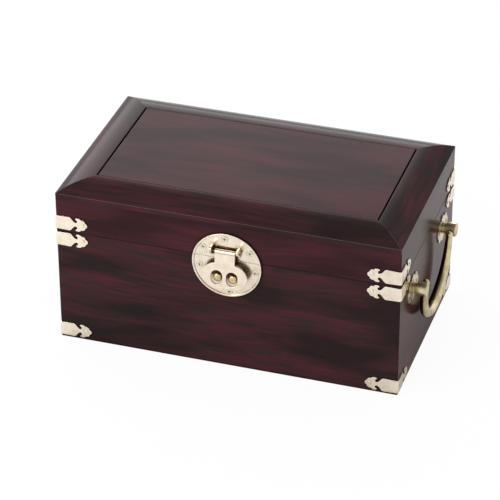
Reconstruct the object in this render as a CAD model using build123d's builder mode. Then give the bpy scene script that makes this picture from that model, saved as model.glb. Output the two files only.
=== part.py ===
from build123d import *

import os
from math import cos, radians, sin

# A lidded wooden jewellery casket with brass corner straps, a round lock plate with
# a hanging hasp, a bail handle on each end, and a lift-out tray under a mirrored lid.
# Millimetres. The origin is the centre of the underside, +X is the right end, +Y is
# the hinged back and +Z is up.

# Overall sizes
width = 300.0
depth = 178.0
case_height = 107.0
lid_height = 43.0

# Boards of the case and the lid
board = 9.0
corner_radius = 1.0
seam_chamfer = 0.4
bottom_thickness = 5.0
bottom_rabbet = 4.5
bottom_clearance = 0.1

# Mitred frame and loose panel of the lid top
rail_thickness = 12.0
crown_width = 25.6
crown_drop = 7.4
panel_inset = 27.8
end_groove = 1.5
long_groove = 0.8
panel_ledge = 6.0
panel_thickness = 5.0
groove_chamfer = 0.3

# Velvet-covered cards inside the case
lining = 1.2
lining_drop = 3.0
floor_pad = 3.0
lining_clearance = 0.1

# Mirror inside the lid
backing_thickness = 3.0
mirror_thickness = 3.0
mirror_clearance = 0.3
bead_width = 8.0
bead_height = 5.0
bead_round = 3.5

# Brass sheet and nails
sheet = 0.9
nail_head_radius = 1.7
nail_head_height = 0.6
nail_head_round = 0.5
nail_shank_radius = 0.6
nail_length = 5.0

# Corner straps, as heights of their centre lines and the outline of one arm
base_strap_height = 8.7
seam_strap_offset = 7.3
lid_strap_offset = 8.6
strap_half = 6.15
strap_body = 12.0
strap_shoulder = 6.45
strap_neck = 18.2
strap_neck_half = 1.6
strap_length = 28.2
strap_nail = 23.8

# Round lock plate
lock_radius = 30.2
lock_drop = 5.8
lock_sheet = 1.2
rim_width = 1.7
rim_height = 0.9
rim_round = 0.4
lock_split = 0.15
lock_offset = 1.3

# Countersunk screws of the lock plate, with a cross recess: how far each stands inside
# the plate's edge, and at what angle
lower_screws = ((6.4, 188), (4.8, 275), (5.2, 352))
upper_screws = ((5.2, 36), (5.2, 93), (5.0, 144))
lock_screw_head = 2.7
lock_screw_crown = 0.25
lock_screw_crown_round = 0.2
lock_screw_sink = 1.8
lock_screw_shank = 1.1
lock_screw_length = 6.0
lock_screw_gap = 0.15
recess_span = 2.8
recess_width = 0.8
recess_depth = 0.8

# Hinge pin and ears of the hasp
hasp_pin_height = 14.2
hasp_pin_proud = 3.0
hasp_pin_radius = 0.9
hasp_bore_clearance = 0.05
ear_offset = 11.6
ear_thickness = 1.6
ear_reach = 8.6
ear_rise = 5.5
ear_fall = 4.6
ear_nose = 3.2
ear_round = 1.3

# Hasp
hasp_sheet = 1.4
hasp_front = 1.3
hasp_barrel_radius = 2.15
hasp_barrel = 17.6
hasp_neck_half = 8.7
hasp_neck_drop = 10.6
hasp_half = 20.2
hasp_drop = 33.5
hasp_lobe_base = 5.5
hasp_notch = 1.2
hasp_tilt = 7.8
hasp_hole_radius = 5.0
hasp_hole_offset = 6.65
hasp_hole_drop = 22.0
hasp_hole_slot = 2.6
hasp_chamfer = 0.25

# Lock posts
post_radius = 3.7
post_length = 5.5
post_round = 1.4
post_below_hole = 3.0
lock_bar_radius = 1.0
lock_bar_proud = 3.7

# End handles
handle_drop = 23.6
handle_spacing = 99.6
handle_neck_radius = 4.7
handle_neck_round = 0.3
handle_drum_radius = 6.0
handle_drum_length = 8.6
handle_drum_round = 0.8
handle_reach = 13.1
backplate_half_width = 16.6
backplate_half_height = 12.3
backplate_lobe = 4.9
backplate_nail = 12.4

# Bails
bail_offset = 9.0
bail_gap = 0.5
bail_end_radius = 3.0
bail_middle_radius = 4.7
bail_swell = 1.5
bail_sections = 13
bail_knob_radius = 3.3
bail_drop = 46.6
bail_side_arc = 34.0
bail_side_turn = 55.0
bail_lean = 3.0
bail_pin_radius = 1.5
bail_pin_clearance = 0.06
bail_pin_depth = 3.2

# Rear hinges
hinge_spacing = 190.0
hinge_width = 26.0
hinge_leaf_height = 16.0
hinge_barrel_radius = 2.5
hinge_barrel_gap = 0.15
hinge_knuckle_gap = 0.15
hinge_pin_radius = 1.0
hinge_bore_clearance = 0.05
hinge_leaf_gap = 0.3
hinge_screw_offset = 8.5
hinge_screw_edge = 4.5
screw_head_radius = 1.8

# Slotted lid stay inside the right end
stay_radius = 45.0
stay_spread = 40.0
lid_opening = 100.0
stay_sheet = 1.5
stay_half_width = 4.2
stay_pin_radius = 1.5
stay_bore_clearance = 0.05
stay_slot_clearance = 0.1
stay_slot_spare = 0.4
stay_side_gap = 1.0
stay_head_gap = 0.2
stay_head_radius = 3.1
stay_head = 1.0

# Lift-out tray
tray_end_gap = 5.3
tray_side_gap = 0.8
tray_height = 34.0
tray_drop = 5.0
tray_wall = 4.0
tray_floor = 3.0
tray_rabbet = 2.0
tray_rest_height = 6.0
tray_rest_depth = 4.0
tray_rest_end = 14.0
finger_notch = 11.0
divider = 3.0
divider_gap = 0.1
divider_drop = 6.0
tray_pad = 1.5
tray_pad_gap = 0.4
ring_section = 88.0
ring_roll_count = 6
ring_roll_gap = 0.5
ring_roll_height = 23.0

# Heights and planes that follow from the sizes above
total_height = case_height + lid_height
shoulder_height = total_height - crown_drop
rail_underside = total_height - rail_thickness
inner_width = width - 2 * board
inner_depth = depth - 2 * board
lock_height = case_height - lock_drop
handle_height = case_height - handle_drop

# One row for each side of the box: its name, its turn about Z, its own length and
# the distance across the box from it to the side that faces it.
box_sides = (
    ("front", 0, width, depth),
    ("right", 90, depth, width),
    ("back", 180, width, depth),
    ("left", 270, depth, width),
)


def finish(piece, name, shift=0.0):
    """Write a piece, moved along X where it isn't centred on the box."""
    placed = piece.part.moved(Location((shift, 0, 0)))
    placed.label = name
    export_step(placed, f"parts/{name}.step")


def mitred_outline(turn, span, across, thickness, height):
    """A mitred board seen from above, drawn on a plane turned to its side of the box."""
    with BuildSketch(Plane.XY.offset(height).rotated((0, 0, turn))) as outline:
        with BuildLine():
            Polyline(
                (-span / 2, -across / 2),
                (span / 2, -across / 2),
                (span / 2 - thickness, -across / 2 + thickness),
                (-span / 2 + thickness, -across / 2 + thickness),
                close=True,
            )
        make_face()
    return outline.sketch


def rounded_box_outline():
    with BuildSketch(Plane.XY) as outline:
        RectangleRounded(width, depth, corner_radius)
    return outline.sketch


def longest_edge(edges):
    return edges.sort_by(SortBy.LENGTH)[-1]


# Case boards: mitred at the corners, rabbeted for the bottom, and with eased edges
# along the underside and along the joint with the lid.
def case_board(turn, span, across):
    with BuildPart() as piece:
        extrude(mitred_outline(turn, span, across, board, 0), amount=case_height)
        extrude(rounded_box_outline(), amount=case_height, mode=Mode.INTERSECT)
        with BuildSketch(Plane.XY):
            Rectangle(
                inner_width + 2 * bottom_rabbet,
                inner_depth + 2 * bottom_rabbet,
            )
        extrude(amount=bottom_thickness, mode=Mode.SUBTRACT)
        top_edge = longest_edge(piece.edges().group_by(Axis.Z)[-1])
        base_edge = longest_edge(piece.edges().group_by(Axis.Z)[0])
        chamfer([top_edge, base_edge], seam_chamfer)
    return piece


# Tapered rail of the lid top: a crown falls from the flat to the outer face, and a
# ledge inside carries the loose panel. A flat as wide as the corner's rounding eases
# the outer corner.
def lid_rail(turn, span, across, groove):
    inner_edge = panel_inset - groove / 2
    outer = -across / 2
    section_plane = Plane.YZ.offset(-span / 2)
    crown_radius = (crown_width**2 + crown_drop**2) / (2 * crown_drop)
    crown_middle = crown_width / 2
    crown_middle_height = (
        total_height - crown_radius + (crown_radius**2 - crown_middle**2) ** 0.5
    )
    with BuildPart() as piece:
        with BuildSketch(section_plane):
            with BuildLine():
                Line((outer, rail_underside), (outer, shoulder_height))
                ThreePointArc(
                    (outer, shoulder_height),
                    (outer + crown_width - crown_middle, crown_middle_height),
                    (outer + crown_width, total_height),
                )
                Polyline(
                    (outer + crown_width, total_height),
                    (outer + inner_edge, total_height),
                    (outer + inner_edge, total_height - panel_thickness),
                    (outer + inner_edge + panel_ledge, total_height - panel_thickness),
                    (outer + inner_edge + panel_ledge, rail_underside),
                    (outer, rail_underside),
                )
            make_face()
        extrude(amount=span)
        lip = piece.edges().filter_by(Axis.X).group_by(Axis.Z)[-1].sort_by(Axis.Y)[-1]
        chamfer(lip, groove_chamfer)
        mitre_depth = inner_edge + panel_ledge + board
        extrude(
            mitred_outline(0, span, across, mitre_depth, rail_underside),
            amount=rail_thickness,
            mode=Mode.INTERSECT,
        )
        with BuildSketch(Plane.XY.offset(rail_underside)) as eased_outline:
            Rectangle(span, across)
            chamfer(eased_outline.vertices(), corner_radius * (2 - 2**0.5))
        extrude(amount=rail_thickness, mode=Mode.INTERSECT)
    with BuildPart() as placed:
        add(piece.part.rotate(Axis.Z, turn))
    return placed


# Outline of one strap arm: a plain band that narrows to a neck and ends in a
# three-lobed leaf with barbs, drawn with the corner of the box at x = 0.
def strap_outline():
    with BuildSketch() as outline:
        with BuildLine():
            Line((corner_radius, 0), (corner_radius, strap_half))
            Line((corner_radius, strap_half), (strap_body, strap_shoulder))
            Bezier(
                (strap_body, strap_shoulder),
                (strap_body + 2.4, strap_shoulder - 0.3),
                (strap_neck - 3.4, strap_neck_half + 0.6),
                (strap_neck, strap_neck_half),
            )
            barb = (strap_neck - 0.4, 4.8)
            barb_top = (strap_neck + 0.7, 6.2)
            valley = (strap_length - 5.4, 4.8)
            lobe_end = (strap_length - 1.9, 2.4)
            ThreePointArc((strap_neck, strap_neck_half), (strap_neck + 1, 3.0), barb)
            ThreePointArc(barb, (strap_neck - 0.3, 5.8), barb_top)
            ThreePointArc(barb_top, (strap_length - 6.8, 6.0), valley)
            ThreePointArc(valley, (strap_length - 2.9, 4.3), lobe_end)
            ThreePointArc(lobe_end, (strap_length - 0.5, 1.4), (strap_length, 0))
            Line((strap_length, 0), (corner_radius, 0))
        make_face()
        mirror(about=Plane.XZ)
        with Locations((strap_nail, 0)):
            Circle(nail_shank_radius, mode=Mode.SUBTRACT)
    return outline.sketch


def corner_arm_planes(height):
    corner = (width / 2, -depth / 2, height)
    front_arm = Plane(origin=corner, x_dir=(-1, 0, 0), z_dir=(0, -1, 0))
    side_arm = Plane(origin=corner, x_dir=(0, 1, 0), z_dir=(1, 0, 0))
    return front_arm, side_arm


# Four straps at one height: one wraps the front right corner, and the rest mirror it.
def corner_straps(height):
    with BuildPart() as straps:
        for arm_plane in corner_arm_planes(height):
            extrude(arm_plane * strap_outline(), amount=sheet)
        with BuildSketch(Plane.XY.offset(height - strap_half)):
            with Locations((width / 2 - corner_radius, -depth / 2 + corner_radius)):
                Circle(corner_radius + sheet)
                Circle(corner_radius, mode=Mode.SUBTRACT)
                Rectangle(
                    corner_radius + sheet,
                    corner_radius + sheet,
                    align=(Align.MIN, Align.MAX),
                    mode=Mode.INTERSECT,
                )
        extrude(amount=2 * strap_half)
        mirror(about=Plane.YZ)
        mirror(about=Plane.XZ)
    return straps


# A brass nail: a rounded head with its shank driven into the wood behind it.
def nail_solid(head_radius):
    with BuildPart() as nail:
        with BuildSketch(Plane.XY):
            Circle(head_radius)
        extrude(amount=nail_head_height)
        fillet(nail.faces().sort_by(Axis.Z)[-1].edges(), nail_head_round)
        with BuildSketch(Plane.XY):
            Circle(nail_shank_radius)
        extrude(amount=-nail_length)
    return nail.part


def strap_nail_places(height):
    places = []
    for side_x in (1, -1):
        for side_y in (1, -1):
            front_x = side_x * (width / 2 - strap_nail)
            end_y = side_y * (depth / 2 - strap_nail)
            front_plane = Plane(
                origin=(front_x, side_y * (depth / 2 + sheet), height),
                x_dir=(1, 0, 0),
                z_dir=(0, side_y, 0),
            )
            end_plane = Plane(
                origin=(side_x * (width / 2 + sheet), end_y, height),
                x_dir=(0, 1, 0),
                z_dir=(side_x, 0, 0),
            )
            places += [front_plane.location, end_plane.location]
    return places


def nail_group(places, head_radius):
    nail = nail_solid(head_radius)
    with BuildPart() as nails:
        with Locations(*places):
            add(nail)
    return nails


# Lock plate: a disc with a raised rim, split where the lid meets the case.
lock_seat = Plane.XZ.offset(depth / 2)


def lock_screw_places(screws):
    return [
        Plane(
            origin=(
                (lock_radius - edge) * cos(radians(angle)),
                -depth / 2 - lock_sheet,
                lock_height + (lock_radius - edge) * sin(radians(angle)),
            ),
            x_dir=(1, 0, 0),
            z_dir=(0, -1, 0),
        ).location
        for edge, angle in screws
    ]


def lock_plate(low, high, screws):
    with BuildPart() as plate:
        with BuildSketch(lock_seat):
            with Locations((0, lock_height)):
                Circle(lock_radius)
        extrude(amount=lock_sheet)
        with BuildSketch(lock_seat.offset(lock_sheet)):
            with Locations((0, lock_height)):
                Circle(lock_radius)
                Circle(lock_radius - rim_width, mode=Mode.SUBTRACT)
        extrude(amount=rim_height)
        rim_edges = plate.faces().sort_by(Axis.Y)[0].edges()
        fillet(rim_edges, rim_round)
        with Locations(*lock_screw_places(screws)):
            CounterSinkHole(lock_screw_shank, lock_screw_head + lock_screw_gap, depth=lock_sheet)
        with BuildSketch(lock_seat):
            with Locations((0, low)):
                Rectangle(3 * lock_radius, high - low, align=(Align.CENTER, Align.MIN))
        extrude(amount=lock_sheet + rim_height, mode=Mode.INTERSECT)
    return plate


# A countersunk screw: a low crown over the cone of its head, its shank in the wood
# behind the plate, and a cross recess for the driver.
def lock_screws(screws):
    with BuildPart() as screw:
        with BuildSketch(Plane.XY):
            Circle(lock_screw_head)
        extrude(amount=lock_screw_crown)
        fillet(screw.faces().sort_by(Axis.Z)[-1].edges(), lock_screw_crown_round)
        Cone(
            lock_screw_shank,
            lock_screw_head,
            lock_screw_sink,
            align=(Align.CENTER, Align.CENTER, Align.MAX),
        )
        with BuildSketch(Plane.XY.offset(-lock_screw_sink)):
            Circle(lock_screw_shank)
        extrude(amount=lock_screw_sink - lock_screw_length)
        with BuildSketch(Plane.XY.offset(lock_screw_crown)):
            Rectangle(recess_span, recess_width)
            Rectangle(recess_width, recess_span)
        extrude(amount=-recess_depth, mode=Mode.SUBTRACT)
    with BuildPart() as placed:
        with Locations(*lock_screw_places(screws)):
            add(screw.part)
    return placed


os.makedirs("parts", exist_ok=True)

# Case: four mitred boards, the bottom let into their rabbets, and the velvet lining.
for side, turn, span, across in box_sides:
    finish(case_board(turn, span, across), f"case_{side}")

with BuildPart() as case_bottom:
    with BuildSketch(Plane.XY):
        Rectangle(
            inner_width + 2 * (bottom_rabbet - bottom_clearance),
            inner_depth + 2 * (bottom_rabbet - bottom_clearance),
        )
    extrude(amount=bottom_thickness)
finish(case_bottom, "case_bottom")

with BuildPart() as case_floor_pad:
    with BuildSketch(Plane.XY.offset(bottom_thickness)):
        Rectangle(
            inner_width - 2 * (lining + lining_clearance),
            inner_depth - 2 * (lining + lining_clearance),
        )
    extrude(amount=floor_pad)
finish(case_floor_pad, "case_floor_pad")

# The stay pin stands on a circle about the rear hinge, and so does the stay's pivot
# on the lid, so the stay turns by half the angle of the lid.
hinge_axis_y = depth / 2 + hinge_barrel_radius + hinge_barrel_gap
stay_y = hinge_axis_y - stay_radius * cos(radians(stay_spread / 2))
stay_half_rise = stay_radius * sin(radians(stay_spread / 2))
stay_pin_height = case_height - stay_half_rise
stay_pivot_height = case_height + stay_half_rise
stay_outer_x = inner_width / 2 - lining - stay_side_gap
stay_inner_x = stay_outer_x - stay_sheet

for side, turn, span, across in box_sides:
    with BuildPart() as case_lining:
        extrude(
            mitred_outline(turn, span - 2 * board, across - 2 * board, lining, bottom_thickness),
            amount=case_height - lining_drop - bottom_thickness,
        )
        if side == "right":
            with BuildSketch(Plane.YZ.offset(inner_width / 2 - lining)):
                with Locations((stay_y, stay_pin_height)):
                    Circle(stay_pin_radius)
            extrude(amount=lining, mode=Mode.SUBTRACT)
    finish(case_lining, f"case_lining_{side}")

# Two rests, glued along the front and back linings, carry the tray.
tray_top = case_height - tray_drop
tray_base = tray_top - tray_height
for side, facing in (("front", -1), ("back", 1)):
    with BuildPart() as tray_rest:
        with BuildSketch(Plane.XY.offset(tray_base - tray_rest_height)):
            with Locations((0, facing * (inner_depth / 2 - lining - tray_rest_depth / 2))):
                Rectangle(inner_width - 2 * (lining + tray_rest_end), tray_rest_depth)
        extrude(amount=tray_rest_height)
    finish(tray_rest, f"tray_rest_{side}")

# Corner straps and their nails.
case_strap_height = case_height - seam_strap_offset
lid_strap_height = case_height + lid_strap_offset
finish(corner_straps(base_strap_height), "base_corner_straps")
finish(corner_straps(case_strap_height), "case_corner_straps")
finish(corner_straps(lid_strap_height), "lid_corner_straps")

case_nail_places = strap_nail_places(base_strap_height) + strap_nail_places(case_strap_height)
finish(nail_group(case_nail_places, nail_head_radius), "case_strap_nails")
lid_nail_places = strap_nail_places(lid_strap_height)
finish(nail_group(lid_nail_places, nail_head_radius), "lid_strap_nails")

# Lower half of the lock plate with the two posts that take a lock bar.
plate_low = lock_height - 2 * lock_radius
lower_plate = lock_plate(plate_low, case_height - lock_split, lower_screws)
finish(lower_plate, "lock_plate_lower", lock_offset)
finish(lock_screws(lower_screws), "lock_plate_lower_screws", lock_offset)

pin_height = lock_height + hasp_pin_height
pin_y = -depth / 2 - lock_sheet - hasp_pin_proud
lock_post_height = pin_height - hasp_hole_drop * cos(radians(hasp_tilt)) - post_below_hole
with BuildPart() as lock_posts:
    with BuildSketch(lock_seat.offset(lock_sheet)):
        with Locations((-hasp_hole_offset, lock_post_height), (hasp_hole_offset, lock_post_height)):
            Circle(post_radius)
    extrude(amount=post_length)
    fillet(lock_posts.faces().group_by(Axis.Y)[0].edges(), post_round)
    with BuildSketch(Plane.YZ.offset(-hasp_hole_offset - post_radius)):
        with Locations((-depth / 2 - lock_sheet - lock_bar_proud, lock_post_height)):
            Circle(lock_bar_radius)
    extrude(amount=2 * (hasp_hole_offset + post_radius), mode=Mode.SUBTRACT)
finish(lock_posts, "lock_posts", lock_offset)

# Upper half of the lock plate with the two ears that hold the hasp's pin.
plate_high = lock_height + 2 * lock_radius
upper_plate = lock_plate(case_height + lock_split, plate_high, upper_screws)
with BuildPart() as lock_plate_upper:
    add(upper_plate.part)
    for ear_x in (-ear_offset, ear_offset):
        with BuildSketch(Plane.YZ.offset(ear_x - ear_thickness / 2)) as ear:
            ear_root = -depth / 2 - lock_sheet
            with BuildLine():
                Polyline(
                    (ear_root, pin_height + ear_rise),
                    (ear_root - ear_reach, pin_height + ear_rise),
                    (ear_root - ear_reach, pin_height + ear_rise - ear_nose),
                    (pin_y - hasp_barrel_radius, pin_height - hasp_barrel_radius),
                    (ear_root, pin_height - ear_fall),
                    close=True,
                )
            make_face()
            fillet(ear.vertices().group_by(Axis.X)[0], ear_round)
            with Locations((pin_y, pin_height)):
                Circle(hasp_pin_radius, mode=Mode.SUBTRACT)
        extrude(amount=ear_thickness)
finish(lock_plate_upper, "lock_plate_upper", lock_offset)
finish(lock_screws(upper_screws), "lock_plate_upper_screws", lock_offset)

with BuildPart() as hasp_pin:
    with BuildSketch(Plane.YZ.offset(-ear_offset - ear_thickness)):
        with Locations((pin_y, pin_height)):
            Circle(hasp_pin_radius)
    extrude(amount=2 * (ear_offset + ear_thickness))
finish(hasp_pin, "hasp_pin", lock_offset)

# Hasp: a leaf with two round lobes, rolled into a barrel round its pin. It is drawn
# hanging straight down from the pin and then tilted to the angle at which it rests.
with BuildPart() as hasp_leaf:
    with BuildSketch(Plane.XZ.offset(-pin_y + hasp_front - hasp_sheet)):
        with BuildLine():
            neck_base = (hasp_neck_half, pin_height - hasp_neck_drop)
            lobe_side = (hasp_half, pin_height - hasp_hole_drop)
            lobe_base = (hasp_lobe_base, pin_height - hasp_drop)
            notch = (0, pin_height - hasp_drop + hasp_notch)
            Line((0, pin_height), (hasp_neck_half, pin_height))
            Line((hasp_neck_half, pin_height), neck_base)
            ThreePointArc(neck_base, (16.4, pin_height - 14.6), lobe_side)
            ThreePointArc(lobe_side, (15.2, pin_height - 30.6), lobe_base)
            ThreePointArc(lobe_base, (2.4, pin_height - hasp_drop + 0.3), notch)
            Line(notch, (0, pin_height))
        make_face()
        mirror(about=Plane.YZ)
        for hole_x in (-hasp_hole_offset, hasp_hole_offset):
            with Locations((hole_x, pin_height - hasp_hole_drop - hasp_hole_slot / 2)):
                SlotCenterToCenter(
                    hasp_hole_slot,
                    2 * hasp_hole_radius,
                    rotation=90,
                    mode=Mode.SUBTRACT,
                )
    extrude(amount=hasp_sheet)
    hole_rims = hasp_leaf.faces().sort_by(Axis.Y)[0].inner_wires()
    chamfer([edge for rim in hole_rims for edge in rim.edges()], hasp_chamfer)
    with BuildSketch(Plane.YZ.offset(-hasp_barrel / 2)):
        with Locations((pin_y, pin_height)):
            Circle(hasp_barrel_radius)
    extrude(amount=hasp_barrel)
    with BuildSketch(Plane.YZ.offset(-hasp_barrel / 2)):
        with Locations((pin_y, pin_height)):
            Circle(hasp_pin_radius + hasp_bore_clearance)
    extrude(amount=hasp_barrel, mode=Mode.SUBTRACT)
hasp_axis = Axis((0, pin_y, pin_height), (-1, 0, 0))
with BuildPart() as hasp:
    add(hasp_leaf.part.rotate(hasp_axis, hasp_tilt))
finish(hasp, "hasp", lock_offset)

# End handles: on each end two posts stand on flower-shaped backplates, and a bail
# thick in its middle hangs between them on pins in the posts' inner faces.
post_places_y = (-handle_spacing / 2, handle_spacing / 2)


def end_plane(facing, standoff):
    """A plane on an end of the box, with x along the depth and z pointing outwards."""
    return Plane(
        origin=(facing * (width / 2 + standoff), 0, handle_height),
        x_dir=(0, facing, 0),
        z_dir=(facing, 0, 0),
    )


backplate_nail_points = [
    (post_y + side * backplate_nail, 0) for post_y in post_places_y for side in (-1, 1)
]

lobe_ring_x = backplate_half_width - backplate_lobe
lobe_ring_y = backplate_half_height - backplate_lobe
with BuildPart() as handle_backplates:
    for facing in (1, -1):
        with BuildSketch(end_plane(facing, 0)):
            for post_y in post_places_y:
                with Locations((post_y, 0)):
                    Ellipse(lobe_ring_x, lobe_ring_y)
                for step in range(8):
                    angle = radians(45 * step)
                    lobe_x = lobe_ring_x * cos(angle)
                    lobe_y = lobe_ring_y * sin(angle)
                    with Locations((post_y + lobe_x, lobe_y)):
                        Circle(backplate_lobe)
            with Locations(*backplate_nail_points):
                Circle(nail_shank_radius, mode=Mode.SUBTRACT)
        extrude(amount=sheet)
finish(handle_backplates, "handle_backplates")

backplate_nail_places = [
    (end_plane(facing, sheet) * Location((x, y, 0)))
    for facing in (1, -1)
    for x, y in backplate_nail_points
]
finish(nail_group(backplate_nail_places, nail_head_radius), "handle_backplate_nails")

pin_bore_end = handle_spacing / 2 - handle_drum_radius + bail_pin_depth


def turned_stage(facing, radius, start, length, rounding):
    """One turned length of both posts on an end, with its outer edge rounded."""
    with BuildPart() as stage:
        with BuildSketch(end_plane(facing, start)):
            with Locations(*[(post_y, 0) for post_y in post_places_y]):
                Circle(radius)
        extrude(amount=length)
        outer_ends = stage.faces().group_by(Axis.X)[-1 if facing > 0 else 0]
        fillet(outer_ends.edges(), rounding)
    return stage.part


neck_length = handle_reach - sheet - handle_drum_round
drum_start = handle_reach - handle_drum_length
post_stages = (
    (handle_neck_radius, sheet, neck_length, handle_neck_round),
    (handle_drum_radius, drum_start, handle_drum_length, handle_drum_round),
)
turned_stages = [turned_stage(facing, *stage) for facing in (1, -1) for stage in post_stages]
with BuildPart() as handle_posts:
    add(turned_stages)
    for facing in (1, -1):
        with BuildSketch(Plane.XZ.offset(-pin_bore_end)):
            with Locations((facing * (width / 2 + bail_offset), handle_height)):
                Circle(bail_pin_radius + bail_pin_clearance)
        extrude(amount=2 * pin_bore_end, mode=Mode.SUBTRACT)
finish(handle_posts, "handle_posts")


def bail(facing):
    """A bail drawn hanging straight down from its pins and then leaned to its rest."""
    half = handle_spacing / 2 - handle_drum_radius - bail_gap - bail_knob_radius
    turn = radians(bail_side_turn)
    middle_arc = (half - bail_side_arc * (1 - cos(turn))) / cos(turn)
    straight = bail_drop - bail_side_arc * sin(turn) - middle_arc * (1 - sin(turn))
    plane = end_plane(facing, bail_offset)
    with BuildLine(plane) as path:
        left = JernArc(
            start=(-half, -straight),
            tangent=(0, -1),
            radius=bail_side_arc,
            arc_size=bail_side_turn,
        )
        middle = JernArc(
            start=left @ 1,
            tangent=left % 1,
            radius=middle_arc,
            arc_size=2 * (90 - bail_side_turn),
        )
        right = JernArc(
            start=middle @ 1,
            tangent=middle % 1,
            radius=bail_side_arc,
            arc_size=bail_side_turn,
        )
        Line((-half, 0), left @ 0)
        Line(right @ 1, (half, 0))
    route = path.wire()
    with BuildPart() as piece:
        for station in range(bail_sections):
            share = station / (bail_sections - 1)
            swell = sin(share * radians(180)) ** bail_swell
            radius = bail_end_radius + (bail_middle_radius - bail_end_radius) * swell
            section = Plane(origin=route @ share, z_dir=route % share)
            with BuildSketch(section):
                Circle(radius)
        loft()
    return piece, half


for side, facing in (("right", 1), ("left", -1)):
    bar, half = bail(facing)
    pivot_x = facing * (width / 2 + bail_offset)
    with BuildPart() as bail_piece:
        add(bar.part)
        with Locations((pivot_x, -half, handle_height), (pivot_x, half, handle_height)):
            Sphere(bail_knob_radius)
        pin_reach = handle_spacing / 2 - handle_drum_radius + bail_pin_depth - bail_gap
        for facing_y in (-1, 1):
            with BuildSketch(Plane.XZ.offset(-facing_y * half)):
                with Locations((pivot_x, handle_height)):
                    Circle(bail_pin_radius)
            extrude(amount=-facing_y * (pin_reach - half))
    with BuildPart() as leaned:
        lean_axis = Axis((pivot_x, 0, handle_height), (0, 1, 0))
        add(bail_piece.part.rotate(lean_axis, facing * bail_lean))
    finish(leaned, f"bail_{side}")

# Lid: four mitred sides, four crowned rails, the loose panel, and the mirror that
# four beads hold up against its backing.
for side, turn, span, across in box_sides:
    with BuildPart() as lid_side:
        extrude(
            mitred_outline(turn, span, across, board, case_height),
            amount=rail_underside - case_height,
        )
        extrude(
            Plane.XY.offset(case_height) * rounded_box_outline(),
            amount=lid_height,
            mode=Mode.INTERSECT,
        )
        chamfer(longest_edge(lid_side.edges().group_by(Axis.Z)[0]), seam_chamfer)
    finish(lid_side, f"lid_{side}")
    groove = long_groove if side in ("front", "back") else end_groove
    finish(lid_rail(turn, span, across, groove), f"lid_rail_{side}")
    with BuildPart() as mirror_bead:
        bead_top = rail_underside - backing_thickness - mirror_thickness
        extrude(
            mitred_outline(
                turn,
                span - 2 * board,
                across - 2 * board,
                bead_width,
                bead_top - bead_height,
            ),
            amount=bead_height,
        )
        low_edges = mirror_bead.edges().group_by(Axis.Z)[0].sort_by(SortBy.LENGTH)
        fillet(low_edges[-2], bead_round)
    finish(mirror_bead, f"mirror_bead_{side}")

with BuildPart() as lid_panel:
    with BuildSketch(Plane.XY.offset(total_height - panel_thickness)):
        Rectangle(
            width - 2 * panel_inset - end_groove,
            depth - 2 * panel_inset - long_groove,
        )
    extrude(amount=panel_thickness)
    chamfer(lid_panel.faces().sort_by(Axis.Z)[-1].edges(), groove_chamfer)
finish(lid_panel, "lid_panel")

with BuildPart() as mirror_backing:
    with BuildSketch(Plane.XY.offset(rail_underside - backing_thickness)):
        Rectangle(inner_width - 2 * mirror_clearance, inner_depth - 2 * mirror_clearance)
    extrude(amount=backing_thickness)
finish(mirror_backing, "mirror_backing")

with BuildPart() as lid_mirror:
    with BuildSketch(Plane.XY.offset(rail_underside - backing_thickness - mirror_thickness)):
        Rectangle(inner_width - 2 * mirror_clearance, inner_depth - 2 * mirror_clearance)
    extrude(amount=mirror_thickness)
finish(lid_mirror, "lid_mirror")

# Rear hinges: the case leaf has the two outer knuckles, the lid leaf the middle one.
knuckle = (hinge_width - 2 * hinge_knuckle_gap) / 3
middle_start = knuckle + hinge_knuckle_gap
hinge_starts = (-hinge_spacing / 2 - hinge_width / 2, hinge_spacing / 2 - hinge_width / 2)
back_face = depth / 2
notch_height = hinge_barrel_radius + hinge_barrel_gap + hinge_leaf_gap
end_knuckles = ((0, knuckle), (middle_start + knuckle + hinge_knuckle_gap, knuckle))
middle_knuckle = ((middle_start, knuckle),)
screw_points = (hinge_screw_edge, hinge_width - hinge_screw_edge)


def hinge_leaves(knuckles, direction, bore_clearance):
    with BuildPart() as leaves:
        for start in hinge_starts:
            with BuildSketch(Plane.YZ.offset(start)):
                with Locations((back_face, case_height + direction * notch_height)):
                    Rectangle(
                        lock_sheet,
                        hinge_leaf_height - notch_height,
                        align=(Align.MIN, Align.MIN if direction > 0 else Align.MAX),
                    )
            extrude(amount=hinge_width)
            for offset, length in knuckles:
                with BuildSketch(Plane.YZ.offset(start + offset)):
                    with Locations((hinge_axis_y, case_height)):
                        Circle(hinge_barrel_radius)
                    with Locations((back_face, case_height)):
                        Rectangle(
                            lock_sheet,
                            notch_height,
                            align=(Align.MIN, Align.MIN if direction > 0 else Align.MAX),
                        )
                    with Locations((hinge_axis_y, case_height)):
                        Circle(hinge_pin_radius + bore_clearance, mode=Mode.SUBTRACT)
                extrude(amount=length)
            with BuildSketch(Plane.XZ.offset(-back_face)):
                for point in screw_points:
                    with Locations((start + point, case_height + direction * hinge_screw_offset)):
                        Circle(nail_shank_radius)
            extrude(amount=-lock_sheet, mode=Mode.SUBTRACT)
    return leaves


def hinge_screws(direction):
    places = [
        Plane(
            origin=(start + point, back_face + lock_sheet, case_height + direction * hinge_screw_offset),
            x_dir=(1, 0, 0),
            z_dir=(0, 1, 0),
        ).location
        for start in hinge_starts
        for point in screw_points
    ]
    return nail_group(places, screw_head_radius)


finish(hinge_leaves(end_knuckles, -1, 0), "hinge_case_leaves")
finish(hinge_leaves(middle_knuckle, 1, hinge_bore_clearance), "hinge_lid_leaves")
finish(hinge_screws(-1), "hinge_case_screws")
finish(hinge_screws(1), "hinge_lid_screws")

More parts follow.
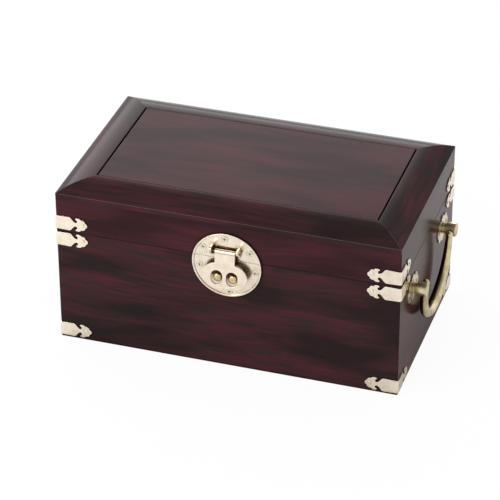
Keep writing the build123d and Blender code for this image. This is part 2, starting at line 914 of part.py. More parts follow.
with BuildPart() as hinge_pins:
    for start in hinge_starts:
        with BuildSketch(Plane.YZ.offset(start)):
            with Locations((hinge_axis_y, case_height)):
                Circle(hinge_pin_radius)
        extrude(amount=hinge_width)
finish(hinge_pins, "hinge_pins")


# Lid stay: a slotted arm turns on a rivet in the lid, and its slot slides along a
# headed pin in the case wall.
def stay_stud(height, collar_start, collar_radius):
    with BuildPart() as stud:
        stages = (
            (stay_pin_radius, inner_width / 2, stay_inner_x - stay_head_gap),
            (collar_radius, collar_start, stay_outer_x + stay_head_gap),
            (stay_head_radius, stay_inner_x - stay_head_gap, stay_inner_x - stay_head_gap - stay_head),
        )
        for radius, start, end in stages:
            with BuildSketch(Plane.YZ.offset(end)):
                with Locations((stay_y, height)):
                    Circle(radius)
            extrude(amount=start - end)
    return stud


finish(stay_stud(stay_pin_height, inner_width / 2 - lining, stay_head_radius), "stay_pin")
finish(stay_stud(stay_pivot_height, inner_width / 2, stay_head_radius), "stay_rivet")

nearest = 2 * stay_radius * sin(radians(stay_spread / 2))
farthest = 2 * stay_radius * sin(radians((stay_spread + lid_opening) / 2))
slot_start = nearest - stay_slot_spare
slot_end = farthest + stay_slot_spare
slot_half = stay_pin_radius + stay_slot_clearance
with BuildPart() as lid_stay:
    with BuildSketch(Plane.YZ.offset(stay_inner_x)):
        with Locations((stay_y, stay_pivot_height - slot_end / 2)):
            SlotCenterToCenter(slot_end, 2 * stay_half_width, rotation=90)
        with Locations((stay_y, stay_pivot_height - (slot_start + slot_end) / 2)):
            SlotCenterToCenter(slot_end - slot_start, 2 * slot_half, rotation=90, mode=Mode.SUBTRACT)
        with Locations((stay_y, stay_pivot_height)):
            Circle(stay_pin_radius + stay_bore_clearance, mode=Mode.SUBTRACT)
    extrude(amount=stay_sheet)
finish(lid_stay, "lid_stay")

# Lift-out tray: mitred walls with a finger notch in each end, a let-in bottom, the
# dividers, velvet-covered pads and a row of padded ring rolls.
tray_width = inner_width - 2 * (lining + tray_end_gap)
tray_depth = inner_depth - 2 * (lining + tray_side_gap)
tray_sides = (
    ("front", 0, tray_width, tray_depth),
    ("right", 90, tray_depth, tray_width),
    ("back", 180, tray_width, tray_depth),
    ("left", 270, tray_depth, tray_width),
)
for side, turn, span, across in tray_sides:
    with BuildPart() as tray_side:
        extrude(mitred_outline(turn, span, across, tray_wall, tray_base), amount=tray_height)
        with BuildSketch(Plane.XY.offset(tray_base)):
            Rectangle(
                tray_width - 2 * (tray_wall - tray_rabbet),
                tray_depth - 2 * (tray_wall - tray_rabbet),
            )
        extrude(amount=tray_floor, mode=Mode.SUBTRACT)
        if side in ("left", "right"):
            with BuildSketch(Plane.YZ.offset(-tray_width / 2)):
                with Locations((0, tray_top)):
                    Circle(finger_notch)
            extrude(amount=tray_width, mode=Mode.SUBTRACT)
    finish(tray_side, f"tray_{side}")

with BuildPart() as tray_bottom:
    with BuildSketch(Plane.XY.offset(tray_base)):
        Rectangle(
            tray_width - 2 * (tray_wall - tray_rabbet + bottom_clearance),
            tray_depth - 2 * (tray_wall - tray_rabbet + bottom_clearance),
        )
    extrude(amount=tray_floor)
finish(tray_bottom, "tray_bottom")

tray_inner_half = tray_width / 2 - tray_wall
tray_inner_depth = tray_depth - 2 * tray_wall
ring_edge = -tray_inner_half + ring_section
cross_x = (ring_edge + divider + tray_inner_half) / 2
floor_height = tray_base + tray_floor
divider_height = tray_height - tray_floor - divider_drop
cross_length = (tray_inner_depth - divider) / 2 - divider_gap
with BuildPart() as tray_dividers:
    with BuildSketch(Plane.XY.offset(floor_height)):
        with Locations((ring_edge + divider / 2, 0)):
            Rectangle(divider, tray_inner_depth)
        with Locations(((ring_edge + divider + divider_gap + tray_inner_half) / 2, 0)):
            Rectangle(tray_inner_half - ring_edge - divider - divider_gap, divider)
        for side_y in (-1, 1):
            with Locations((cross_x, side_y * (divider / 2 + divider_gap + cross_length / 2))):
                Rectangle(divider, cross_length)
    extrude(amount=divider_height)
finish(tray_dividers, "tray_dividers")

bay_width = (tray_inner_half - ring_edge - 2 * divider) / 2
bay_depth = (tray_inner_depth - divider) / 2
bay_places = [
    (cross_x + side_x * (bay_width + divider) / 2, side_y * (bay_depth + divider) / 2)
    for side_x in (-1, 1)
    for side_y in (-1, 1)
]
with BuildPart() as tray_pads:
    with BuildSketch(Plane.XY.offset(floor_height)):
        with Locations(*bay_places):
            Rectangle(bay_width - 2 * tray_pad_gap, bay_depth - 2 * tray_pad_gap)
    extrude(amount=tray_pad)
finish(tray_pads, "tray_pads")

roll_pitch = ring_section / ring_roll_count
roll_half = (roll_pitch - ring_roll_gap) / 2
roll_length = tray_inner_depth - 2 * ring_roll_gap
with BuildPart() as ring_rolls:
    with BuildSketch(Plane.XZ.offset(-roll_length / 2)):
        for roll in range(ring_roll_count):
            centre = -tray_inner_half + (roll + 0.5) * roll_pitch
            with Locations((centre, floor_height + ring_roll_height - roll_half)):
                Circle(roll_half)
            with Locations((centre, floor_height)):
                Rectangle(
                    2 * roll_half,
                    ring_roll_height - roll_half,
                    align=(Align.CENTER, Align.MIN),
                )
    extrude(amount=roll_length)
finish(ring_rolls, "ring_rolls")
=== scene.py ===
from math import pi

import bmesh
import bpy
from mathutils import Matrix, Vector


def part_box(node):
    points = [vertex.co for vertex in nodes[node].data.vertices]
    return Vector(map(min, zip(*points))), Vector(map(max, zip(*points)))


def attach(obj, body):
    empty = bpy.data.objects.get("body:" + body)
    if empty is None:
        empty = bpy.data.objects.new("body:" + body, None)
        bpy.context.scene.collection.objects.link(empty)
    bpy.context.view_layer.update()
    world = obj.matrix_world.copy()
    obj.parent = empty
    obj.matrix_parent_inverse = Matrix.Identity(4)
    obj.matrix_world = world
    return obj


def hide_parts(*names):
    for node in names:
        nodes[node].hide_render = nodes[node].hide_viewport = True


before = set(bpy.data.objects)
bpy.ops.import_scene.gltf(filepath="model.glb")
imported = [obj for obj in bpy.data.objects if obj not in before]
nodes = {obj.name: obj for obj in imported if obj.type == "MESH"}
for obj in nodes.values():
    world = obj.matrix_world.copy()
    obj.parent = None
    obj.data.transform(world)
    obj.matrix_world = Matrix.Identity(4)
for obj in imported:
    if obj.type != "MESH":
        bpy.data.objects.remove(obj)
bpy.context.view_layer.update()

scene = bpy.context.scene
scene.view_settings.view_transform = "Standard"

camera = bpy.data.objects.new("camera", bpy.data.cameras.new("camera"))
camera.data.lens = 188.94
camera.data.sensor_width = 36
view_right = Vector((0.95213, 0.30569, -0.00315))
view_up = Vector((-0.1592, 0.5046, 0.84855))
view_back = Vector((0.26098, -0.80743, 0.52911))
stands_at = (0.5853, -1.8339, 1.2624)
turned = Matrix((view_right, view_up, view_back)).transposed().to_4x4()
camera.matrix_world = Matrix.Translation(stands_at) @ turned
scene.collection.objects.link(camera)
scene.camera = camera


# Case boards: solid hardwood, stained nearly black with red showing through, mitred at
# the corners and finished in a thin clear lacquer. The grain runs round the box.
def linear(shade):
    """Turns an sRGB hex colour into the linear colour that a shader takes."""
    channels = [int(shade[place:place + 2], 16) / 255 for place in (1, 3, 5)]
    return tuple(
        c / 12.92 if c <= 0.04045 else ((c + 0.055) / 1.055) ** 2.4 for c in channels
    ) + (1.0,)


def add_node(tree, kind, feeds, stops=None, **settings):
    """Adds a node with its settings. Feeds name each input and its value or source.

    A Mix node takes its two numbers at inputs 2 and 3, and its two colours at 6 and 7.
    """
    node = tree.nodes.new("ShaderNode" + kind)
    for setting, value in settings.items():
        setattr(node, setting, value)
    for socket, source in feeds.items():
        if isinstance(source, bpy.types.NodeSocket):
            tree.links.new(source, node.inputs[socket])
        else:
            node.inputs[socket].default_value = source
    if stops:
        while len(node.color_ramp.elements) < len(stops):
            node.color_ramp.elements.new(1.0)
        for element, (position, shade) in zip(node.color_ramp.elements, stops):
            element.position = position
            element.color = linear(shade)
    return node


def new_finish(name):
    """Makes an empty material and gives it with its node tree."""
    finish = bpy.data.materials.new(name)
    finish.use_nodes = True
    finish.node_tree.nodes.clear()
    return finish, finish.node_tree


# Patterns are drawn in millimetres, and the model in metres.
in_millimetres = (1000, 1000, 1000)


def lacquered_hardwood(name, runs_along, cut, ground=("#221b1b", "#2e2323"), arris_highlight=0.0):
    """Dark stained hardwood under thin lacquer: nearly black, with short soft red streaks.

    The eye sees the room mirrored softly in it at a low angle, and almost straight into
    the stain face on. Cut, in mm, is the part of the log that the board was sawn from;
    the last argument is how strong a pale highlight is painted on the arrises that face up.
    """
    finish, tree = new_finish(name)
    place = add_node(tree, "TexCoord", {})
    log = add_node(tree, "Mapping", {
        "Vector": place.outputs["Object"],
        "Location": cut,
        "Rotation": (0, 0, 0 if runs_along == "x" else pi / 2),
        "Scale": in_millimetres,
    })
    # The grain wanders a few mm off its line over the length of a hand.
    slow = add_node(tree, "Mapping", {
        "Vector": log.outputs[0],
        "Scale": (1 / 150, 1 / 80, 1 / 80),
    })
    wander = add_node(tree, "TexNoise", {"Vector": slow.outputs[0], "Scale": 1, "Detail": 1})
    grain = add_node(tree, "VectorMath", {
        0: wander.outputs["Color"],
        1: (0, 22, 22),
        2: log.outputs[0],
    }, operation="MULTIPLY_ADD")
    # Clouds of stain 90 x 22 mm, streaks 45 x 3 mm, fibres 14 x 0.8 mm.
    layers = []
    for length, width, detail in ((90, 22, 1), (45, 3, 1), (14, 0.8, 1)):
        stretched = add_node(tree, "Mapping", {
            "Vector": grain.outputs[0],
            "Scale": (1 / length, 1 / width, 1 / width),
        })
        layer = add_node(tree, "TexNoise", {
            "Vector": stretched.outputs[0],
            "Scale": 1,
            "Detail": detail,
        })
        layers.append(layer.outputs["Fac"])
    clouds, streaks, fibres = layers
    stain = add_node(tree, "ValToRGB", {"Fac": clouds}, [(0.35, ground[0]), (0.65, ground[1])])
    lines = add_node(tree, "Math", {
        0: fibres,
        1: 0.36,
        2: streaks,
    }, operation="MULTIPLY_ADD")
    red_lines = add_node(tree, "MapRange", {
        "Value": lines.outputs[0],
        "From Min": 0.46,
        "From Max": 1.04,
    })
    red_clouds = add_node(tree, "MapRange", {
        "Value": clouds,
        "From Min": 0.37,
        "From Max": 0.6,
        "To Min": 0.18,
    })
    redness = add_node(tree, "Math", {
        0: red_lines.outputs["Result"],
        1: red_clouds.outputs["Result"],
    }, operation="MULTIPLY")
    wood = add_node(tree, "Mix", {
        "Factor": redness.outputs[0],
        6: stain.outputs["Color"],
        7: linear("#4b2129"),
    }, data_type="RGBA")
    # Painted shade: ambient occlusion darkens the seams, the wood round the brass and the bottom
    # edge by the floor almost to black.
    seam = add_node(tree, "AmbientOcclusion", {"Distance": 0.0035}, samples=8)
    clear = add_node(tree, "MapRange", {
        "Value": seam.outputs["AO"],
        "From Min": 0.4,
        "From Max": 0.9,
    })
    shaded_wood = add_node(tree, "Mix", {
        "Factor": clear.outputs["Result"],
        6: linear("#0c0709"),
        7: wood.outputs[2],
    }, data_type="RGBA")
    # Painted highlight: a pale line goes on the rounded arrises that face up or out, and none on
    # those that face down.
    arris = add_node(tree, "Bevel", {"Radius": 0.0006}, samples=4)
    face = add_node(tree, "NewGeometry", {})
    turned = add_node(tree, "VectorMath", {
        0: arris.outputs[0],
        1: face.outputs["Normal"],
    }, operation="DOT_PRODUCT")
    arris_highlight_share = add_node(tree, "MapRange", {
        "Value": turned.outputs["Value"],
        "From Min": 1.0,
        "From Max": 0.93,
        "To Max": arris_highlight,
    })
    tilt = add_node(tree, "SeparateXYZ", {"Vector": arris.outputs[0]})
    upward = add_node(tree, "Math", {0: tilt.outputs["Z"], 1: -0.05}, operation="GREATER_THAN")
    upward_arris_highlight = add_node(tree, "Math", {
        0: arris_highlight_share.outputs["Result"],
        1: upward.outputs[0],
    }, operation="MULTIPLY")
    highlighted_wood = add_node(tree, "Mix", {
        "Factor": upward_arris_highlight.outputs[0],
        6: shaded_wood.outputs[2],
        7: linear("#8d7b7a"),
    }, data_type="RGBA")
    fill = add_node(tree, "Bump", {
        "Height": streaks,
        "Strength": 0.4,
        "Distance": 0.00003,
        "Normal": arris.outputs[0],
    })
    # Lacquer has an IOR near 1.5. It is lower here to match the weak veil on this box.
    lacquer = add_node(tree, "BsdfPrincipled", {
        "Base Color": highlighted_wood.outputs[2],
        "Roughness": 0.17,
        "IOR": 1.12,
        "Normal": fill.outputs[0],
    })
    add_node(tree, "OutputMaterial", {"Surface": lacquer.outputs[0]})
    return finish


def give(finish, *names):
    """Gives CAD nodes their finish."""
    for name in names:
        for slot in nodes[name].material_slots:
            slot.material = finish


give(lacquered_hardwood("case_front_lacquer", "x", (0, 0, 0)), "case_front")
give(lacquered_hardwood("case_back_lacquer", "x", (700, 0, 300)), "case_back")
# Painted shade: the end boards get a browner copy of the stain, standing in for how the light
# falls on the box's ends.
shaded_end_ground = ("#35231d", "#412c26")
give(lacquered_hardwood("case_left_lacquer", "y", (0, 900, 500), shaded_end_ground), "case_left")
give(lacquered_hardwood("case_right_lacquer", "y", (400, 300, 900), shaded_end_ground), "case_right")


# Bottom board and the two rests for the tray: the same wood, planed and oiled only,
# because the hand seldom meets it. The bottom is let into the case boards, the rests glued.
def oiled_wood(name, runs_along, cut, dark, pale):
    """Oiled hardwood: satin, brown, with straight fibres 30 x 1.2 mm under fine pores."""
    finish, tree = new_finish(name)
    place = add_node(tree, "TexCoord", {})
    log = add_node(tree, "Mapping", {
        "Vector": place.outputs["Object"],
        "Location": cut,
        "Rotation": (0, 0, 0 if runs_along == "x" else pi / 2),
        "Scale": in_millimetres,
    })
    layers = []
    for length, width, detail in ((90, 8, 2), (30, 1.2, 3)):
        stretched = add_node(tree, "Mapping", {
            "Vector": log.outputs[0],
            "Scale": (1 / length, 1 / width, 1 / width),
        })
        layer = add_node(tree, "TexNoise", {
            "Vector": stretched.outputs[0],
            "Scale": 1,
            "Detail": detail,
        })
        layers.append(layer.outputs["Fac"])
    figure, fibres = layers
    both = add_node(tree, "Mix", {"Factor": 0.5, 2: figure, 3: fibres})
    tone = add_node(tree, "ValToRGB", {"Fac": both.outputs[0]}, [(0.38, dark), (0.62, pale)])
    arris = add_node(tree, "Bevel", {"Radius": 0.0004}, samples=4)
    pores = add_node(tree, "Bump", {
        "Height": fibres,
        "Strength": 0.6,
        "Distance": 0.0001,
        "Normal": arris.outputs[0],
    })
    surface = add_node(tree, "BsdfPrincipled", {
        "Base Color": tone.outputs["Color"],
        "Roughness": 0.45,
        "IOR": 1.4,
        "Normal": pores.outputs[0],
    })
    add_node(tree, "OutputMaterial", {"Surface": surface.outputs[0]})
    return finish


oiled_dark = "#2a1613"
oiled_pale = "#4e2c22"
oiled_boards = oiled_wood("oiled_boards", "x", (150, 80, 40), oiled_dark, oiled_pale)
give(oiled_boards, "case_bottom", "tray_rest_front", "tray_rest_back")


# Wall linings: wine red velvet glued over thin card, its edges turned round the card.
# One card lines each wall from the bottom to just under the rim.
def velvet(name, pile_root, pile_tip):
    """Cotton velvet: a deep colour face on and a pale sheen along its curves.

    Its pile lies in soft brushed patches 25 mm wide, over a nap 0.7 mm fine.
    """
    finish, tree = new_finish(name)
    place = add_node(tree, "TexCoord", {})
    cloth = add_node(tree, "Mapping", {
        "Vector": place.outputs["Object"],
        "Scale": in_millimetres,
    })
    brushed = add_node(tree, "TexNoise", {
        "Vector": cloth.outputs[0],
        "Scale": 1 / 25,
        "Detail": 2,
        "Distortion": 0.6,
    })
    nap = add_node(tree, "TexNoise", {"Vector": cloth.outputs[0], "Scale": 1 / 0.7, "Detail": 2})
    lie = add_node(tree, "Math", {
        0: nap.outputs["Fac"],
        1: 0.5,
        2: brushed.outputs["Fac"],
    }, operation="MULTIPLY_ADD")
    tone = add_node(
        tree, "ValToRGB", {"Fac": lie.outputs[0]}, [(0.5, pile_root), (1.0, pile_tip)]
    )
    pile = add_node(tree, "Bump", {
        "Height": nap.outputs["Fac"],
        "Strength": 0.7,
        "Distance": 0.0003,
    })
    surface = add_node(tree, "BsdfPrincipled", {
        "Base Color": tone.outputs["Color"],
        "Roughness": 0.95,
        "Specular IOR Level": 0.2,
        "Sheen Weight": 0.3,
        "Sheen Roughness": 0.35,
        "Sheen Tint": linear("#c98893"),
        "Normal": pile.outputs[0],
    })
    add_node(tree, "OutputMaterial", {"Surface": surface.outputs[0]})
    return finish


def cover(low, high, rounding, steps=3):
    """Starts a closed cover as a rounded block between two corners, in metres."""
    shape = bmesh.new()
    bmesh.ops.create_cube(shape, size=1)
    bmesh.ops.scale(shape, vec=high - low, verts=shape.verts)
    bmesh.ops.translate(shape, vec=(low + high) / 2, verts=shape.verts)
    bmesh.ops.bevel(
        shape,
        geom=shape.edges,
        offset=rounding,
        segments=steps,
        affect="EDGES",
        profile=0.5,
        material=-1,
    )
    return shape


def make_piece(name, shape, finish):
    """Turns a finished bmesh into a smooth-shaded object at the origin."""
    mesh = bpy.data.meshes.new(name)
    shape.to_mesh(mesh)
    shape.free()
    mesh.materials.append(finish)
    mesh.shade_smooth()
    piece = bpy.data.objects.new(name, mesh)
    scene.collection.objects.link(piece)
    return piece


lining_velvet = velvet("lining_velvet", "#38080f", "#5a1420")
card = 0.0012
turned_edge = 0.00045
for side in ("front", "back", "left", "right"):
    node = f"case_lining_{side}"
    low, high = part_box(node)
    # The end cards stand between the long ones.
    if side in ("left", "right"):
        low.y += card
        high.y -= card
    lining_shape = cover(low, high, turned_edge)
    lining = make_piece(f"velvet_lining_{side}", lining_shape, lining_velvet)
    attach(lining, "case")
    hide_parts(node)


# Floor pad: a thin sheet of wadding in a velvet cover, dropped in between the linings.
# The wadding lifts the cover in the middle and leaves it soft and low along its edges.
def even_cells(shape, low, high, cell):
    """Cuts a block into cells of about the same size, so that its cover can swell."""
    for axis in range(3):
        count = max(1, round((high[axis] - low[axis]) / cell))
        across = Vector((0, 0, 0))
        across[axis] = 1
        for step in range(1, count):
            point = low.copy()
            point[axis] += (high[axis] - low[axis]) * step / count
            everything = shape.verts[:] + shape.edges[:] + shape.faces[:]
            bmesh.ops.bisect_plane(shape, geom=everything, plane_co=point, plane_no=across)


def stuff(piece, swell, rests_at):
    """Lets wadding swell a closed cover, no point by more than swell, nor below its rest."""
    moments = 20
    before = [vertex.co.copy() for vertex in piece.data.vertices]
    cloth = piece.modifiers.new("wadding", "CLOTH")
    cloth.settings.use_pressure = True
    cloth.settings.uniform_pressure_force = 4
    cloth.settings.mass = 0.0004
    cloth.settings.tension_stiffness = 2
    cloth.settings.compression_stiffness = 2
    cloth.settings.shear_stiffness = 1
    cloth.settings.bending_stiffness = 0.01
    cloth.settings.effector_weights.gravity = 0
    cloth.point_cache.frame_start = 1
    cloth.point_cache.frame_end = moments
    for moment in range(1, moments + 1):
        scene.frame_set(moment)
    shown = piece.evaluated_get(bpy.context.evaluated_depsgraph_get())
    after = [vertex.co.copy() for vertex in shown.data.vertices]
    piece.modifiers.clear()
    scene.frame_set(1)
    for vertex, old, new in zip(piece.data.vertices, before, after):
        step = new - old
        if step.length > swell:
            step *= swell / step.length
        vertex.co = old + step
        vertex.co.z = max(vertex.co.z, rests_at)
    smooth = piece.modifiers.new("smooth", "SUBSURF")
    smooth.levels = smooth.render_levels = 1


pad_velvet = velvet("pad_velvet", "#3a0810", "#5e1522")
floor_pad_edge = 0.0009
floor_pad_cell = 0.004
floor_pad_swell = 0.0008
low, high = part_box("case_floor_pad")
pad_shape = cover(low, high, floor_pad_edge, 2)
even_cells(pad_shape, low, high, floor_pad_cell)
floor_pad = make_piece("floor_pad", pad_shape, pad_velvet)
stuff(floor_pad, floor_pad_swell, low.z)
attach(floor_pad, "case")
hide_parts("case_floor_pad")


# Corner straps: stamped from 0.9 mm brass sheet with a three-lobed end, bent round each
# corner and polished. Thin clear lacquer keeps them a pale champagne colour.
def worked_brass(
    name, tarnish, roughness, blotch, edge=0.0003, dent=0.0, depth=0.01, hollow_tarnish_and_shade="#7d6138"
):
    """Brass sheet or casting. Tarnish gives its colours from dull to bright.

    Blotch is the width in mm of the cloudy patches that handling leaves. Edge, dent and
    depth are in metres: how far polishing rounds the arrises, how high the ripples of
    the surface are, and how far ambient occlusion reaches. The last colour is laid in
    what it finds: partly tarnish in the hollows, partly painted shade.
    """
    finish, tree = new_finish(name)
    place = add_node(tree, "TexCoord", {})
    metal = add_node(tree, "Mapping", {
        "Vector": place.outputs["Object"],
        "Scale": in_millimetres,
    })
    clouds = add_node(tree, "TexNoise", {
        "Vector": metal.outputs[0],
        "Scale": 1 / blotch,
        "Detail": 3,
        "Roughness": 0.6,
    })
    colour = add_node(tree, "ValToRGB", {"Fac": clouds.outputs["Fac"]}, tarnish)
    # Hollows, and brass close under and beside other parts, are darkened towards the last
    # colour: partly tarnish that polish misses, partly painted shade.
    occlusion = add_node(tree, "AmbientOcclusion", {"Distance": depth}, samples=8)
    unoccluded = add_node(tree, "MapRange", {
        "Value": occlusion.outputs["AO"],
        "From Min": 0.35,
        "From Max": 0.75,
    })
    tarnished_and_shaded = add_node(tree, "Mix", {
        "Factor": unoccluded.outputs["Result"],
        6: linear(hollow_tarnish_and_shade),
        7: colour.outputs["Color"],
    }, data_type="RGBA")
    wear = add_node(tree, "MapRange", {
        "Value": clouds.outputs["Fac"],
        "From Min": 0.35,
        "From Max": 0.65,
        "To Min": roughness + 0.07,
        "To Max": roughness - 0.05,
    })
    arris = add_node(tree, "Bevel", {"Radius": edge}, samples=4)
    ripple = add_node(tree, "TexNoise", {
        "Vector": metal.outputs[0],
        "Scale": 1 / 2.5,
        "Detail": 2,
    })
    hammered = add_node(tree, "Bump", {
        "Height": ripple.outputs["Fac"],
        "Strength": 0.5,
        "Distance": dent,
        "Normal": arris.outputs[0],
    })
    surface = add_node(tree, "BsdfPrincipled", {
        "Base Color": tarnished_and_shaded.outputs[2],
        "Metallic": 1,
        "Roughness": wear.outputs["Result"],
        "Normal": hammered.outputs[0],
    })
    add_node(tree, "OutputMaterial", {"Surface": surface.outputs[0]})
    return finish


strap_brass = worked_brass(
    "champagne_brass_straps",
    [(0.3, "#e0d2bb"), (0.5, "#ebdfcc"), (0.7, "#f2e8d8")],
    roughness=0.24,
    blotch=9,
    dent=0.00002,
)
give(strap_brass, "base_corner_straps", "case_corner_straps", "lid_corner_straps")

nail_brass = worked_brass(
    "polished_brass_nails",
    [(0.35, "#dccdb0"), (0.65, "#f2e7d4")],
    roughness=0.22,
    blotch=3,
    edge=0.0002,
)
give(nail_brass, "case_strap_nails", "lid_strap_nails")


# End handles: cast brass backplates nailed on, turned posts through them, and a bail
# bent from tapered rod. All of it is toned dark in a bath, then rubbed bright on top.
antique_brass = worked_brass(
    "antique_brass_handles",
    [(0.3, "#96845c"), (0.5, "#bfae88"), (0.7, "#dccfb0")],
    roughness=0.22,
    blotch=12,
    edge=0.0004,
    dent=0.00001,
    depth=0.003,
)
give(antique_brass, "handle_posts")
# Painted shade: ambient occlusion reaching 45 mm darkens the bails' side by the box to a dark
# brown.
bail_brass = worked_brass(
    "shaded_brass_bails",
    [(0.3, "#a8956c"), (0.5, "#cbbb94"), (0.7, "#e4d8bc")],
    roughness=0.17,
    blotch=14,
    edge=0.0004,
    depth=0.045,
    hollow_tarnish_and_shade="#4d3b1c",
)
give(bail_brass, "bail_left", "bail_right")
plate_brass = worked_brass(
    "rubbed_brass_backplates",
    [(0.3, "#b8a47e"), (0.6, "#e2d4b6")],
    roughness=0.26,
    blotch=4,
    dent=0.00003,
    depth=0.003,
)
give(plate_brass, "handle_backplates", "handle_backplate_nails")


# Hinges and lid stay: plain rolled brass, brushed to a satin. The leaves are screwed on at
# the back, and the stay hangs inside between a pin in the case and a rivet in the lid.
satin_brass = worked_brass(
    "satin_brass_hinges",
    [(0.3, "#b39b62"), (0.7, "#d3be8c")],
    roughness=0.34,
    blotch=6,
)
give(
    satin_brass,
    "hinge_case_leaves",
    "hinge_lid_leaves",
    "hinge_case_screws",
    "hinge_lid_screws",
    "hinge_pins",
    "stay_pin",
    "stay_rivet",
    "lid_stay",
)


# Lid boards: four low boards of the same lacquered wood as the case, mitred and glued in a
# ring. They are cut from other boards, so their figure doesn't run on from the case.
redder = ("#2b1a1c", "#392226")
give(lacquered_hardwood("lid_front_lacquer", "x", (210, 40, -400), redder), "lid_front")
give(lacquered_hardwood("lid_back_lacquer", "x", (-300, 200, -700)), "lid_back")
# The lid's left end gets the same painted shade as the case's ends.
give(lacquered_hardwood("lid_left_lacquer", "y", (900, 0, 150), shaded_end_ground), "lid_left")
# Painted shade: the lid's right end, away from the lamps, gets the darkest copy of the stain.
lid_right_shade_ground = ("#241713", "#2c1c18")
give(lacquered_hardwood("lid_right_lacquer", "y", (500, 700, 250), lid_right_shade_ground), "lid_right")


# Lid top: four rails with a crowned outer edge, mitred, round a loose flat panel that
# sits in their rebate with an open groove at its ends. A painted highlight runs along the
# long rails' arrises, and a faint one along those of the short ones.
for side, runs_along, cut, arris_highlight in (
    ("front", "x", (60, 420, 90), 0.5),
    ("back", "x", (-80, 520, 900), 0.5),
    ("left", "y", (620, 60, 700), 0.1),
    ("right", "y", (-220, 160, 500), 0.1),
):
    rail_finish = lacquered_hardwood(f"rail_{side}_lacquer", runs_along, cut, arris_highlight=arris_highlight)
    give(rail_finish, f"lid_rail_{side}")
# The panel's arrises that face up get a painted highlight too.
give(lacquered_hardwood("panel_lacquer", "x", (330, -250, 40), redder, arris_highlight=0.4), "lid_panel")


# Mirror in the lid: silvered float glass on a thin backing board. Four oiled beads, glued
# inside the lid's boards, hold both in.
def silvered_glass(name):
    """Silvered float glass: a clean, very slightly cool reflection."""
    finish, tree = new_finish(name)
    surface = add_node(tree, "BsdfPrincipled", {
        "Base Color": linear("#e3e8e7"),
        "Metallic": 1,
        "Roughness": 0.02,
    })
    add_node(tree, "OutputMaterial", {"Surface": surface.outputs[0]})
    return finish


give(silvered_glass("silvered_glass"), "lid_mirror")
give(oiled_boards, "mirror_backing", "mirror_bead_front", "mirror_bead_back")
bead_wood = oiled_wood("oiled_end_beads", "y", (70, 20, 90), oiled_dark, oiled_pale)
give(bead_wood, "mirror_bead_left", "mirror_bead_right")


# Lock: a round brass plate sawn in two at the seam, a hasp on a pin between two ears,
# and two turned posts that take a bar. Cross-head screws hold the plate.
lock_brass = worked_brass(
    "champagne_brass_lock",
    [(0.3, "#dfd1bb"), (0.5, "#eaddca"), (0.7, "#f0e5d5")],
    roughness=0.24,
    blotch=7,
    dent=0.00002,
)
give(lock_brass, "lock_plate_lower", "lock_plate_upper")
# The hasp is handled most, and a little of the lacquer's paleness has gone from it.
hasp_brass = worked_brass(
    "champagne_brass_hasp",
    [(0.3, "#dacbb5"), (0.5, "#e5d7c4"), (0.7, "#ece0cf")],
    roughness=0.22,
    blotch=7,
    dent=0.00002,
)
give(hasp_brass, "hasp")
# The posts get a deep brown painted shade where they stand close to the hasp and the plate.
post_brass = worked_brass(
    "golden_brass_posts",
    [(0.35, "#c2a573"), (0.65, "#e3d1ab")],
    roughness=0.2,
    blotch=3,
    depth=0.006,
    hollow_tarnish_and_shade="#3a2810",
)
give(post_brass, "lock_posts")
pin_brass = worked_brass(
    "worn_brass_pin",
    [(0.35, "#a37a45"), (0.65, "#cfae76")],
    roughness=0.25,
    blotch=3,
)
give(pin_brass, "hasp_pin")
# The screws' cross recesses get a near-black painted shade.
screw_brass = worked_brass(
    "brass_screws",
    [(0.35, "#d8cab2"), (0.65, "#efe4d2")],
    roughness=0.28,
    blotch=2,
    edge=0.00015,
    depth=0.0012,
    hollow_tarnish_and_shade="#2e2010",
)
give(screw_brass, "lock_plate_lower_screws", "lock_plate_upper_screws")


# Tray: thin oiled boards glued up round a bottom, with lapped dividers inside. It lifts
# out of the case and is a redder brown than the case's own oiled boards.
tray_dark = "#371c16"
tray_pale = "#603626"
tray_wood = oiled_wood("oiled_tray_boards", "x", (20, 150, 60), tray_dark, tray_pale)
tray_end_wood = oiled_wood("oiled_tray_ends", "y", (90, 30, 10), tray_dark, tray_pale)
give(tray_wood, "tray_front", "tray_back", "tray_bottom", "tray_dividers")
give(tray_end_wood, "tray_left", "tray_right")

# Tray pads: card with a little wadding in a velvet cover, one on the floor of each of the
# four bays, dropped in with a hair of room on every side.
pads_low, pads_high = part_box("tray_pads")
divider = 0.003
pad_gap = 0.0003
pad_edge = 0.0005
pad_cell = 0.003
pad_swell = 0.0006
bay_width = (pads_high.x - pads_low.x - divider - 2 * pad_gap) / 2
bay_depth = (pads_high.y - pads_low.y - divider - 2 * pad_gap) / 2
for across in (0, 1):
    for along in (0, 1):
        low = Vector((
            pads_low.x + across * (bay_width + divider + 2 * pad_gap),
            pads_low.y + along * (bay_depth + divider + 2 * pad_gap),
            pads_low.z,
        ))
        high = Vector((low.x + bay_width, low.y + bay_depth, pads_high.z))
        name = f"tray_pad_{('front', 'back')[along]}_{('middle', 'right')[across]}"
        pad_shape = cover(low, high, pad_edge, 2)
        even_cells(pad_shape, low, high, pad_cell)
        tray_pad = make_piece(name, pad_shape, pad_velvet)
        stuff(tray_pad, pad_swell, low.z)
        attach(tray_pad, "tray")
        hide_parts("tray_pads")


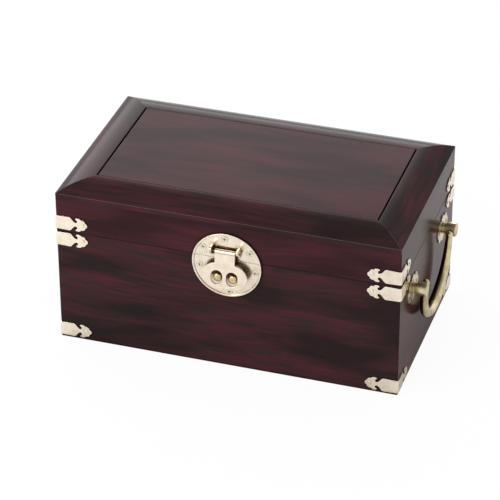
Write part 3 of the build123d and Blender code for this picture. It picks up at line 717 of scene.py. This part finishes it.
# Ring rolls: six foam rolls in velvet, side by side, tight enough to grip a ring
# between them. Each is sewn shut at its ends.
ring_velvet = velvet("ring_velvet", "#3c0911", "#621724")
rolls_low, rolls_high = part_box("ring_rolls")
roll_count = 6
roll_gap = 0.0005
roll_rounding = 0.0055
roll_cell = 0.002
roll_swell = 0.0006
roll_pitch = (rolls_high.x - rolls_low.x + roll_gap) / roll_count
for number in range(roll_count):
    low = Vector((rolls_low.x + number * roll_pitch, rolls_low.y, rolls_low.z))
    high = Vector((low.x + roll_pitch - roll_gap, rolls_high.y, rolls_high.z))
    roll_shape = cover(low, high, roll_rounding, 6)
    roll = make_piece(f"ring_roll_{number + 1}", roll_shape, ring_velvet)
    remesh = roll.modifiers.new("even", "REMESH")
    remesh.mode = "VOXEL"
    remesh.voxel_size = roll_cell
    even = bpy.data.meshes.new_from_object(
        roll.evaluated_get(bpy.context.evaluated_depsgraph_get())
    )
    roll.modifiers.clear()
    roll.data = even
    even.shade_smooth()
    stuff(roll, roll_swell, low.z)
    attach(roll, "tray")
    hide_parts("ring_rolls")


# Floor: a wide studio sweep, painted white. It looks white to the eye and, as the lamps
# light it, in the brass, and it keeps a faint shadow round the box.
floor_finish, tree = new_finish("white_sweep")
painted = add_node(tree, "BsdfDiffuse", {"Color": linear("#f0f0f0")})
lit = add_node(tree, "Emission", {"Color": (1, 1, 1, 1), "Strength": 1})
ray = add_node(tree, "LightPath", {})
white_share = 0.94
share = add_node(tree, "Math", {
    0: ray.outputs["Is Camera Ray"],
    1: white_share,
}, operation="MULTIPLY")
seen = add_node(tree, "MixShader", {
    0: share.outputs[0],
    1: painted.outputs[0],
    2: lit.outputs[0],
})
add_node(tree, "OutputMaterial", {"Surface": seen.outputs[0]})
half_width = 4
sweep = bmesh.new()
bmesh.ops.create_grid(sweep, x_segments=1, y_segments=1, size=half_width)
floor = make_piece("floor", sweep, floor_finish)


# Studio light: a large soft lamp up to the left of the camera, a long low one behind the
# box that puts the veil of light on the lid, and a white room round them.
def soft_lamp(name, place, aim, width, height, power):
    """Hangs a rectangular lamp, its sides in metres and its power in watts."""
    lamp = bpy.data.lights.new(name, "AREA")
    lamp.shape = "RECTANGLE"
    lamp.size = width
    lamp.size_y = height
    lamp.energy = power
    holder = bpy.data.objects.new(name, lamp)
    holder.location = place
    holder.rotation_euler = (Vector(aim) - Vector(place)).to_track_quat("-Z", "Y").to_euler()
    scene.collection.objects.link(holder)


box_middle = (0, 0, 0.08)
soft_lamp("key", (-1.5, -2.2, 1.5), box_middle, 1.6, 1.6, 42)
soft_lamp("back", (-1.6, 2.4, 1.2), box_middle, 3.6, 1.5, 53)

room = bpy.data.worlds.new("room")
scene.world = room
room.use_nodes = True
tree = room.node_tree
tree.nodes.clear()
# The walls of the room are white and its ceiling is grey, as the lid and the brass show
# them. What it sheds on the box is even, and the eye sees it white all over.
ray = add_node(tree, "LightPath", {})
toward = add_node(tree, "TexCoord", {})
height = add_node(tree, "SeparateXYZ", {"Vector": toward.outputs["Generated"]})
walls = add_node(tree, "MapRange", {
    "Value": height.outputs["Z"],
    "From Min": 0.5,
    "From Max": 0.95,
    "To Min": 1.0,
    "To Max": 0.3,
})
seen = add_node(tree, "Mix", {
    "Factor": ray.outputs["Is Diffuse Ray"],
    2: walls.outputs["Result"],
    3: 0.9,
})
level = add_node(tree, "Math", {
    0: seen.outputs[0],
    1: ray.outputs["Is Camera Ray"],
}, operation="MAXIMUM")
air = add_node(tree, "Background", {"Color": (1, 1, 1, 1), "Strength": level.outputs[0]})
add_node(tree, "OutputWorld", {"Surface": air.outputs[0]})
